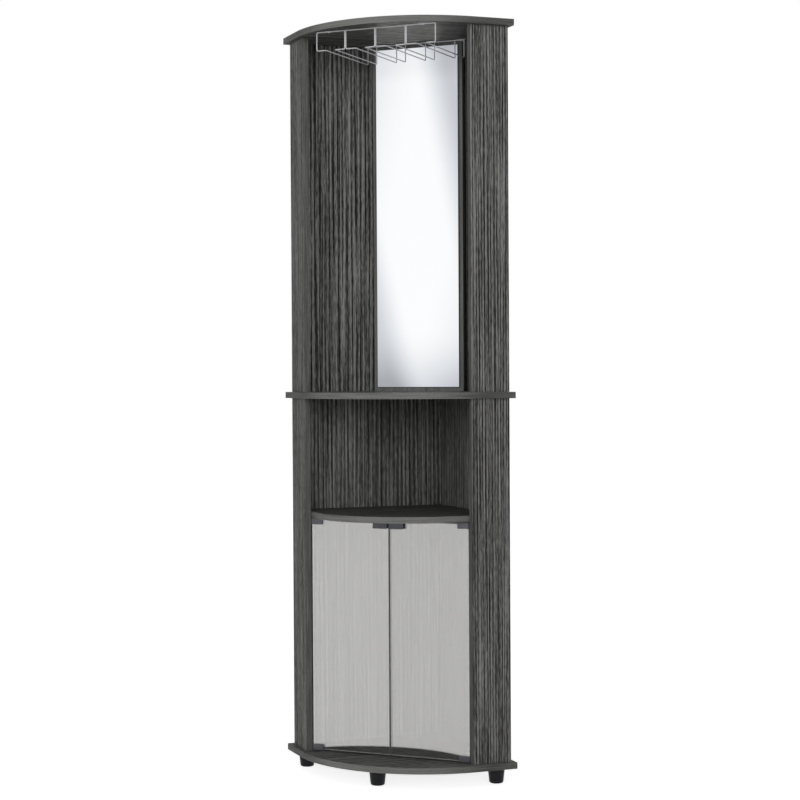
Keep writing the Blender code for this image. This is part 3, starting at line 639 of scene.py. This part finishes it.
def make_plate(node):
    """A full plate: a square whose front corner is rounded to the bow, wrapped in its band."""
    low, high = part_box(node)
    board = corner_square(node + "_board", LEG - 2 * BAND, low.z, high.z)
    front = min(vertex.co.y for vertex in board.data.vertices)
    pick(board, "EDGE", lambda edge: all(abs(v.co.y - front) < BAND for v in edge.verts))
    bpy.ops.mesh.bevel(offset=BOW_RADIUS - BAND, segments=BOW_STEPS, affect="EDGES")
    bpy.ops.object.mode_set(mode="OBJECT")
    dress(board, PLATE_WOOD)
    band = banded(board, node + "_edge_band", PLATE_BAND, is_side)
    smooth(board)
    hang(board, "cabinet", "grey_wood", node)
    return board, band


def make_shelf():
    """The niche shelf: a corner square trimmed by the round of its bow."""
    node = "niche_shelf"
    low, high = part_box(node)
    inner = WALL_OVERHANG + BOARD + CLEARANCE
    outer = LEG - RETURN_OVERHANG - BOARD - CLEARANCE
    middle = (inner + outer) / 2
    centre = Vector((0.0, CORNER_Y - 2 * middle * DIAGONAL, (low.z + high.z) / 2))
    size = (outer - inner, outer - inner, high.z - low.z)
    board = block(node + "_board", size, centre, HALF_RIGHT)
    tip = plan(1, outer, WALL_OVERHANG + RETURN_WIDTH)
    rise = tip.y - low.y
    radius = (tip.x**2 + rise**2) / (2 * rise)
    trim_centre = (0.0, low.y + radius, centre.z)
    trim = drum("shelf_trim", radius - BAND, 4 * BOARD, trim_centre, 4 * BOW_STEPS)
    combine(board, trim, "INTERSECT")
    dress(board, SHADED_SHELF_WOOD)
    banded(
        board,
        node + "_edge_band",
        PLATE_BAND,
        lambda face: is_side(face) and face.calc_center_median().y < tip.y,
    )
    smooth(board)
    hang(board, "cabinet", "grey_wood", node)


# Uprights


def make_return(node, side):
    """A return: its front end carries an upright band."""
    low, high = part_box(node)
    outer = LEG - RETURN_OVERHANG
    inner = outer - BOARD
    start = WALL_OVERHANG
    end = WALL_OVERHANG + RETURN_WIDTH - BAND
    middle = plan(side, (outer + inner) / 2, (start + end) / 2)
    size = (BOARD, end - start, high.z - low.z)
    centre = (middle.x, middle.y, (low.z + high.z) / 2)
    board = block(node + "_board", size, centre, -side * HALF_RIGHT)
    dress(board, RETURN_WOOD)
    front = Vector((-side * DIAGONAL, -DIAGONAL, 0.0))
    banded(board, node + "_edge_band", UPRIGHT_BAND, lambda face: face.normal.dot(front) > FACING)
    round_edges(board, BAND_ROUNDING / 2, 1)
    hang(board, "cabinet", "grey_wood", node)


def make_uprights():
    for name, side in SIDES.items():
        make_return(f"upper_{name}_return", side)
        make_return(f"lower_{name}_return", side)
        dress(frame["nodes"][f"upper_{name}_wall"], UPPER_WALL_WOOD)
        dress(frame["nodes"][f"lower_{name}_wall"], LOWER_WALL_WOOD)


# Mirror


def make_mirror_board():
    node = "mirror_board"
    low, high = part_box(node)
    size = (high.x - low.x - 2 * BAND, high.y - low.y, high.z - low.z)
    board = block(node + "_core", size, (low + high) / 2)
    dress(board, LIT_MARGIN_WOOD)
    banded(board, node + "_edge_bands", UPRIGHT_BAND, lambda face: abs(face.normal.x) > FACING)
    hang(board, "cabinet", "grey_wood", node)


def make_mirror():
    """The mirror: silvered face, polished edges and a painted back."""
    node = "mirror"
    low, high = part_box(node)
    glass = block("mirror_glass", high - low, (low + high) / 2)
    round_edges(glass, MIRROR_EDGE, 2)
    dress(glass, POLISHED_EDGE, SILVER, SMALL_PLASTIC)
    for face in glass.data.polygons:
        if face.normal.y < -SQUARE:
            face.material_index = 1
        elif face.normal.y > SQUARE:
            face.material_index = 2
    smooth(glass)
    hang(glass, "cabinet", "silvered_mirror", node)


# Rack


def start_wire(name, start, direction):
    """The round end of a wire, closed, ready to be drawn out along a direction."""
    clear_selection()
    turn = Vector((0.0, 0.0, 1.0)).rotation_difference(direction).to_euler()
    bpy.ops.mesh.primitive_circle_add(
        vertices=WIRE_SIDES, radius=WIRE / 2, fill_type="NGON", location=start, rotation=turn
    )
    piece = settle(bpy.context.object, name)
    bpy.ops.object.mode_set(mode="EDIT")
    bpy.ops.mesh.select_mode(type="FACE")
    bpy.ops.mesh.select_all(action="SELECT")
    return piece


def draw_wire(name, corners):
    """A wire drawn through its corners: each straight is extruded and each bend is spun."""
    corners = [Vector(corner) for corner in corners]
    directions = [(b - a).normalized() for a, b in zip(corners, corners[1:])]
    piece = start_wire(name, corners[0], directions[0])
    reach = 0.0
    for i, direction in enumerate(directions):
        length = (corners[i + 1] - corners[i]).length - reach
        last = i == len(directions) - 1
        if not last:
            bend = directions[i].angle(directions[i + 1])
            next_reach = WIRE_BEND * math.tan(bend / 2)
            length -= next_reach
        bpy.ops.mesh.extrude_region_move(TRANSFORM_OT_translate={"value": direction * length})
        if last:
            break
        axis = direction.cross(directions[i + 1]).normalized()
        start = corners[i + 1] - direction * next_reach
        centre = start + axis.cross(direction) * WIRE_BEND
        bpy.ops.mesh.spin(steps=BEND_STEPS, angle=-bend, center=centre, axis=axis)
        reach = next_reach
    bpy.ops.mesh.select_all(action="SELECT")
    bpy.ops.mesh.remove_doubles(threshold=WIRE / 1000)
    bpy.ops.mesh.normals_make_consistent(inside=False)
    bpy.ops.object.mode_set(mode="OBJECT")
    return piece


def add_tab(wire, x, y, top):
    """A hammered oval tab in a wire, with its screw's hole."""
    tab = drum("tab", TAB_LENGTH / 2, TAB_THICKNESS, (0.0, 0.0, 0.0), 2 * WIRE_SIDES)
    tab.scale.y = TAB_WIDTH / TAB_LENGTH
    tab.location = (x, y, top - TAB_THICKNESS / 2)
    settle(tab, "tab")
    round_edges(tab, TAB_THICKNESS / 3, 2)
    combine(wire, tab, "UNION")
    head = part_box("rack_screw_front_left")
    radius = (head[1].x - head[0].x) / 2 + CLEARANCE
    seat = drum("seat", radius, WIRE, (x, y, top - TAB_THICKNESS - WIRE / 2), 2 * WIRE_SIDES)
    combine(wire, seat, "DIFFERENCE")
    bore = drum("bore", radius / 2, 4 * WIRE, (x, y, top), 2 * WIRE_SIDES)
    combine(wire, bore, "DIFFERENCE")


def add_weld(x, y, z, number):
    """The small bead where a post is welded under the top wire."""
    clear_selection()
    size = (1.5 * WELD_BEAD, WELD_BEAD, WELD_BEAD)
    bpy.ops.mesh.primitive_uv_sphere_add(
        segments=BEAD_SIDES, ring_count=BEAD_RINGS, radius=1.0, location=(x, y, z), scale=size
    )
    bead = settle(bpy.context.object, f"rack_weld_{number}")
    smooth(bead)
    dress(bead, PLATING)
    bead.visible_glossy = False
    hang(bead, "cabinet", "chrome_wire")


def finish_wire(wire, node):
    dress(wire, PLATING)
    wire.visible_glossy = False
    smooth(wire)
    hang(wire, "cabinet", "chrome_wire", node)


def make_rack():
    """The rack's wires, from the places of the frame's own."""
    low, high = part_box("rack_front_wire")
    radius = WIRE / 2
    front_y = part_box("rack_slot_wire_1_left")[0].y + radius
    back_y = high.y - radius
    rail_z = low.z + radius
    top_z = high.z - radius
    half_width = high.x - radius
    outer = half_width - OUTER_FOOT
    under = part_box("rack_slot_wire_1_left")[1].z
    elbow = top_z - 2 * WIRE_BEND
    screws = {end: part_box(f"rack_screw_{end}_right") for end in ("front", "back")}
    run = [
        (outer, back_y, elbow),
        (outer, back_y, rail_z),
        (outer, front_y, rail_z),
        (half_width, front_y, rail_z),
        (half_width, front_y, top_z),
    ]
    front = draw_wire("rack_front_frame", [(-x, y, z) for x, y, z in run] + run[::-1])
    turn = [(outer, back_y, elbow), (outer, back_y, top_z)]
    back = draw_wire("rack_back_rail", [(-x, y, z) for x, y, z in turn] + turn[::-1])
    for wire, end in ((front, "front"), (back, "back")):
        x = sum(corner.x for corner in screws[end]) / 2
        y = sum(corner.y for corner in screws[end]) / 2
        for side in SIDES.values():
            add_tab(wire, side * x, y, high.z)
    finish_wire(front, "rack_front_wire")
    finish_wire(back, "rack_back_wire")
    for number in (1, 2, 3):
        for name in SIDES:
            node = f"rack_slot_wire_{number}_{name}"
            ends = [corner.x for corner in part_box(node)]
            rail, post = ends if name == "left" else ends[::-1]
            inward = radius if name == "right" else -radius
            post += inward
            rail -= inward
            corners = [
                (post, front_y, under),
                (post, front_y, rail_z),
                (rail, front_y, rail_z),
                (rail, back_y, rail_z),
                (rail, back_y, under),
            ]
            finish_wire(draw_wire(node + "_drawn", corners), node)
            add_weld(post, front_y, under, f"{number}_{name}_front")
            add_weld(rail, back_y, under, f"{number}_{name}_back")


# Doors


def make_pane(name):
    """A glass pane with eased corners: coated faces, a polished meeting edge, ground outer ones."""
    node = f"{name}_glass_door"
    low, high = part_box(node)
    pane = block(f"{name}_pane", high - low, (low + high) / 2)
    pick(pane, "EDGE", lambda edge: abs(edge.verts[0].co.y - edge.verts[1].co.y) > GLASS_EDGE)
    bpy.ops.mesh.bevel(offset=GLASS_CORNER, segments=CORNER_STEPS, affect="EDGES")
    bpy.ops.object.mode_set(mode="OBJECT")
    round_edges(pane, GLASS_EDGE, 3, SHARP)
    dress(pane, POLISHED_EDGE, GLASS, GROUND_EDGE)
    for face in pane.data.polygons:
        if abs(face.normal.y) > SQUARE:
            face.material_index = 1
        elif abs(face.normal.z) > TURNED or face.normal.x * SIDES[name] > 0:
            face.material_index = 2
    smooth(pane)
    hang(pane, f"{name}_door", "grey_glass", node)


def make_clamp(name, level):
    """A pivot clamp: a rounded channel over the pane's corner, bored for its pin and screw."""
    node = f"{name}_{level}_hinge_clamp"
    low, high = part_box(node)
    glass_low, glass_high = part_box(f"{name}_glass_door")
    clamp = block(f"{name}_{level}_clamp", high - low, (low + high) / 2)
    round_edges(clamp, CLAMP_ROUNDING, 4)
    middle = (low + high) / 2
    mouth_low = glass_low.z - CLEARANCE if level == "bottom" else low.z - BOARD
    mouth_high = high.z + BOARD if level == "bottom" else glass_high.z + CLEARANCE
    groove = block(
        "groove",
        (2 * (high.x - low.x), glass_high.y - glass_low.y + 2 * CLEARANCE, mouth_high - mouth_low),
        (middle.x, middle.y, (mouth_low + mouth_high) / 2),
    )
    combine(clamp, groove, "DIFFERENCE")
    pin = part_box(f"{name}_{level}_hinge_pin")
    head_radius = (pin[1].x - pin[0].x) / 2 + CLEARANCE
    pin_x = (pin[0].x + pin[1].x) / 2
    bore = drum("bore", head_radius, 4 * BOARD, (pin_x, middle.y, middle.z), BORE_SIDES)
    combine(clamp, bore, "DIFFERENCE")
    grub_low, grub_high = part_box(f"{name}_{level}_grub_screw")
    grub = (grub_low + grub_high) / 2
    grub_radius = (grub_high.z - grub_low.z) / 2 + CLEARANCE
    lying = (2 * HALF_RIGHT, 0.0, 0.0)
    hole = drum("hole", grub_radius, BOARD, (grub.x, high.y, grub.z), BORE_SIDES, lying)
    combine(clamp, hole, "DIFFERENCE")
    dress(clamp, HINGE)
    smooth(clamp)
    hang(clamp, f"{name}_door", "hinge_grey", node)


def make_handle(name):
    """A clip handle over the pane's top edge: a bent strip, black at its ends and inside its pull
    as painted shade.
    """
    node = f"{name}_handle"
    low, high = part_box(node)
    glass_low, glass_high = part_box(f"{name}_glass_door")
    front = glass_low.y - CLEARANCE
    back = glass_high.y + CLEARANCE
    length = high.x - low.x
    section = handle_section(low, high, front, back, glass_high.z + CLEARANCE)
    handle = extruded(f"{name}_clip", section, length, (low.x + high.x) / 2)
    round_edges(handle, HANDLE_ROUNDING, 2)
    dress(handle, HINGE, SMALL_PLASTIC)
    pull = (low.y + HANDLE_WALL / 2, front - HANDLE_WALL / 2)
    # Painted shade: the ends and the inside of the pull take the black plastic, standing for the
    # shadow in the hollow
    for face in handle.data.polygons:
        inside = pull[0] < face.center.y < pull[1] and face.center.z < high.z - CLEARANCE
        face.material_index = int(inside or abs(face.normal.x) > FACING)
    smooth(handle)
    hang(handle, f"{name}_door", "hinge_grey", node)


def handle_section(low, high, front, back, under):
    """Points (y, z) round the clip: it grips the pane, and its front hangs as a finger plate."""
    leg = front - HANDLE_WALL
    plate = low.y + HANDLE_WALL
    points = [(high.y, high.z)]
    for i in range(HOLLOW_STEPS + 1):
        share = i / HOLLOW_STEPS
        hollow = math.sin(math.pi * share) * HANDLE_HOLLOW
        points.append((low.y + hollow, high.z + (low.z - high.z) * share))
    points += [(plate, low.z), (plate, under), (leg, under), (leg, low.z + HANDLE_WALL)]
    points += [(front, low.z + HANDLE_WALL), (front, under), (back, under)]
    points += [(back, high.z - HANDLE_BACK_DROP), (high.y, high.z - HANDLE_BACK_DROP)]
    return points


def extruded(name, section, length, middle_x):
    """A flat outline in Y and Z, raised along X and made a mesh."""
    curve = bpy.data.curves.new(name, "CURVE")
    curve.dimensions = "2D"
    curve.fill_mode = "BOTH"
    curve.extrude = length / 2
    spline = curve.splines.new("POLY")
    spline.points.add(len(section) - 1)
    for point, (y, z) in zip(spline.points, section):
        point.co = (y, z, 0.0, 1.0)
    spline.use_cyclic_u = True
    flat = bpy.data.objects.new(name, curve)
    bpy.context.scene.collection.objects.link(flat)
    take(flat)
    bpy.ops.object.convert(target="MESH")
    piece = bpy.context.object
    stand = Matrix(((0, 0, 1), (1, 0, 0), (0, 1, 0))).to_4x4()
    piece.matrix_world = Matrix.Translation((middle_x, 0.0, 0.0)) @ stand
    settle(piece, name)
    pick(piece, "VERT", lambda vertex: True)
    bpy.ops.mesh.remove_doubles(threshold=BAND / 100)
    bpy.ops.mesh.normals_make_consistent(inside=False)
    bpy.ops.object.mode_set(mode="OBJECT")
    return piece


# Feet


def make_foot(node):
    """A tapered foot with a rounded lower edge and a hollow for its nail underneath."""
    low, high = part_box(node)
    middle = (low + high) / 2
    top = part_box("base_panel")[0].z - CLEARANCE
    top_radius = (high.x - low.x) / 2 + FOOT_FLARE
    base_radius = top_radius * FOOT_TAPER_SHARE
    centre = (middle.x, middle.y, (low.z + top) / 2)
    foot = drum(
        node + "_turned", base_radius, top - low.z, centre, FOOT_SIDES, other_radius=top_radius
    )
    pick(foot, "EDGE", lambda edge: all(v.co.z < low.z + FOOT_ROUNDING / 4 for v in edge.verts))
    bpy.ops.mesh.bevel(offset=FOOT_ROUNDING, segments=FOOT_STEPS, affect="EDGES")
    bpy.ops.object.mode_set(mode="OBJECT")
    round_edges(foot, FOOT_ROUNDING / 8, 2)
    pick(foot, "FACE", lambda face: face.normal.z < -FLAT)
    bpy.ops.mesh.inset(thickness=FOOT_ROUNDING)
    hollow = (0.0, 0.0, FOOT_ROUNDING / 4)
    bpy.ops.mesh.extrude_region_move(TRANSFORM_OT_translate={"value": hollow})
    bpy.ops.object.mode_set(mode="OBJECT")
    dress(foot, FOOT_PLASTIC)
    smooth(foot)
    hang(foot, "cabinet", "black_plastic", node)


# Small nodes that keep their shape


def dress_small_nodes():
    finishes = {
        "_screw": ZINC,
        "_pin": ZINC,
        "_bush": SMALL_PLASTIC,
        "door_catch": SMALL_PLASTIC,
        "mirror_tape": FOAM,
    }
    for name, node in frame["nodes"].items():
        for part, material in finishes.items():
            if part in name:
                dress(node, material)
        if "rack_screw" in name:
            node.visible_glossy = False


# Room, light and camera


def seen_directly(tree):
    """One for rays that show the background: from the camera, off metal and through glass."""
    path = tree.nodes.new("ShaderNodeLightPath")
    seen = path.outputs["Is Camera Ray"]
    for name in ("Is Glossy Ray", "Is Transmission Ray"):
        highest = tree.nodes.new("ShaderNodeMath")
        highest.operation = "MAXIMUM"
        tree.links.new(seen, highest.inputs[0])
        tree.links.new(path.outputs[name], highest.inputs[1])
        seen = highest.outputs[0]
    return seen


def make_world():
    world = bpy.data.worlds.new("studio")
    bpy.context.scene.world = world
    world.use_nodes = True
    tree = world.node_tree
    background = tree.nodes["Background"]
    strength = tree.nodes.new("ShaderNodeMapRange")
    strength.inputs["To Min"].default_value = AMBIENT
    strength.inputs["To Max"].default_value = 1.0
    background.inputs["Color"].default_value = (1.0, 1.0, 1.0, 1.0)
    tree.links.new(seen_directly(tree), strength.inputs["Value"])
    tree.links.new(strength.outputs[0], background.inputs["Strength"])


def make_floor():
    """A pale floor that reads as white and keeps the cabinet's shadow."""
    clear_selection()
    bpy.ops.mesh.primitive_plane_add(size=FLOOR_SIZE, location=(0.0, 0.0, 0.0))
    floor = bpy.context.object
    floor.name = "floor"
    finish = Finish("pale_floor")
    finish.set(
        Base_Color=(0.86, 0.86, 0.86, 1.0),
        Roughness=0.9,
        Specular_IOR_Level=0.0,
        Emission_Color=(1.0, 1.0, 1.0, 1.0),
        Emission_Strength=Value(finish, seen_directly(finish.tree)) * FLOOR_GLOW,
    )
    dress(floor, finish.material)


def soft_sun(name, strength, spread, azimuth, elevation):
    """Even soft light from one side: a sun as wide as a studio's light wall."""
    light = bpy.data.lights.new(name, "SUN")
    light.energy = strength
    light.angle = math.radians(spread)
    lamp = bpy.data.objects.new(name, light)
    lamp.rotation_euler = bearing(azimuth, elevation).to_track_quat("Z", "Y").to_euler()
    bpy.context.scene.collection.objects.link(lamp)
    lamp.visible_glossy = False


def make_lamps():
    for name, settings in SUNS.items():
        soft_sun(name, *settings)


def make_mirror_throw():
    """The light that the mirror throws up on the underside of the top panel, in narrow strips."""
    low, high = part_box("mirror")
    turn = math.radians(THROW_AZIMUTH)
    ahead = bearing(THROW_AZIMUTH)
    along = bearing(THROW_AZIMUTH, THROW_ELEVATION)
    level = Vector((-ahead.y, ahead.x, 0.0))
    downward = level.cross(along)
    turned = Matrix((level, downward, -along)).transposed().to_4x4()
    step = (high.x - low.x) * THROW_SHARE / len(THROW_POWERS)
    width = step * math.cos(turn)
    clear = (width / 2 * math.sin(turn) + MIRROR_EDGE) / math.cos(turn)
    for strip, power in enumerate(THROW_POWERS):
        light = bpy.data.lights.new(f"mirror_throw_{strip + 1}", "AREA")
        light.shape = "RECTANGLE"
        light.size = width
        light.size_y = THROW_HEIGHT
        light.spread = math.radians(THROW_SPREAD)
        light.energy = power
        lamp = bpy.data.objects.new(light.name, light)
        top = Vector((low.x + step * (strip + 0.5), low.y, high.z)) + ahead * clear
        lamp.matrix_world = Matrix.Translation(top + downward * (THROW_HEIGHT / 2)) @ turned
        bpy.context.scene.collection.objects.link(lamp)
        lamp.visible_camera = False
        lamp.visible_glossy = False


def make_card():
    """A graded card in front, to the left, that only mirror and metal show: the diagonal sheen."""
    clear_selection()
    width, height = CARD_X[1] - CARD_X[0], CARD_Z[1] - CARD_Z[0]
    place = (sum(CARD_X) / 2, CARD_Y, sum(CARD_Z) / 2)
    bpy.ops.mesh.primitive_plane_add(size=1.0, location=place, rotation=(2 * HALF_RIGHT, 0.0, 0.0))
    card = bpy.context.object
    card.scale = (width + CARD_MARGIN, height + CARD_MARGIN, 1.0)
    settle(card, "reflector_card")
    finish = Finish("reflector_card")
    offset = (CARD_X[1] / width, 0.0, -CARD_Z[0] / height)
    place = finish.moved(offset=offset, scale=(-1 / width, 1.0, 1 / height))
    across = finish.axis(place, 0)
    up = finish.axis(place, 2)
    # The ramps' slopes and ends follow the sheen in the photograph's mirror
    right = (up - across * 1.255).above(0.25, 0.84) * 0.42
    left = (across * 0.967 - up).above(0.39, 0.82) * 0.36
    low = (1 - up.above(-0.18, 0.18)) * 0.57 + (1 - (up + across).above(-0.60, 0.62)) * 0.35
    top = up.above(0.89, 0.95) * 0.07 + (up + across).above(1.31, 2.60) * 0.34
    edge = up.above(0.96, 1.01) * 0.08
    shade = right + left + low + top + edge
    across_fade = across.above(-0.62, -0.06) - across.above(1.06, 1.62)
    up_fade = up.above(-0.16, -0.01) - up.above(1.01, 1.16)
    shade = shade * across_fade * up_fade
    finish.set(
        Base_Color=(0.0, 0.0, 0.0, 1.0),
        Roughness=1.0,
        Emission_Color=finish.ramp(shade, CARD_GREYS),
        Emission_Strength=1.0,
        Specular_IOR_Level=0.0,
    )
    dress(card, finish.material)
    card.visible_camera = False
    card.visible_diffuse = False
    card.visible_shadow = False
    card.visible_transmission = False


def make_camera():
    data = bpy.data.cameras.new("camera")
    data.lens = CAMERA_LENS
    data.sensor_width = SENSOR_WIDTH
    camera = bpy.data.objects.new("camera", data)
    place = bearing(CAMERA_AZIMUTH) * CAMERA_DISTANCE + Vector((0.0, TIP_LINE_Y, CAMERA_HEIGHT))
    ahead = bearing(CAMERA_AZIMUTH + CAMERA_YAW + 180.0, CAMERA_PITCH)
    roll = math.radians(CAMERA_ROLL)
    level = ahead.cross(Vector((0.0, 0.0, 1.0))).normalized()
    upright = level.cross(ahead)
    right = math.cos(roll) * level + math.sin(roll) * upright
    up = -math.sin(roll) * level + math.cos(roll) * upright
    turn = Matrix((right, up, -ahead)).transposed().to_4x4()
    camera.matrix_world = Matrix.Translation(place) @ turn
    bpy.context.scene.collection.objects.link(camera)
    bpy.context.scene.camera = camera
    bpy.context.scene.view_settings.view_transform = "Standard"


for plate in ("middle_panel", "base_panel"):
    make_plate(plate)
for piece in make_plate("top_panel"):
    piece.visible_glossy = False
make_shelf()
make_uprights()
make_mirror_board()
make_mirror()
make_rack()
for door in SIDES:
    make_pane(door)
    make_handle(door)
    for end in ("bottom", "top"):
        make_clamp(door, end)
for foot_node in ("left_foot", "right_foot", "rear_foot", "centre_foot"):
    make_foot(foot_node)
dress_small_nodes()
make_world()
make_floor()
make_lamps()
make_mirror_throw()
make_card()
make_camera()
clear_selection()
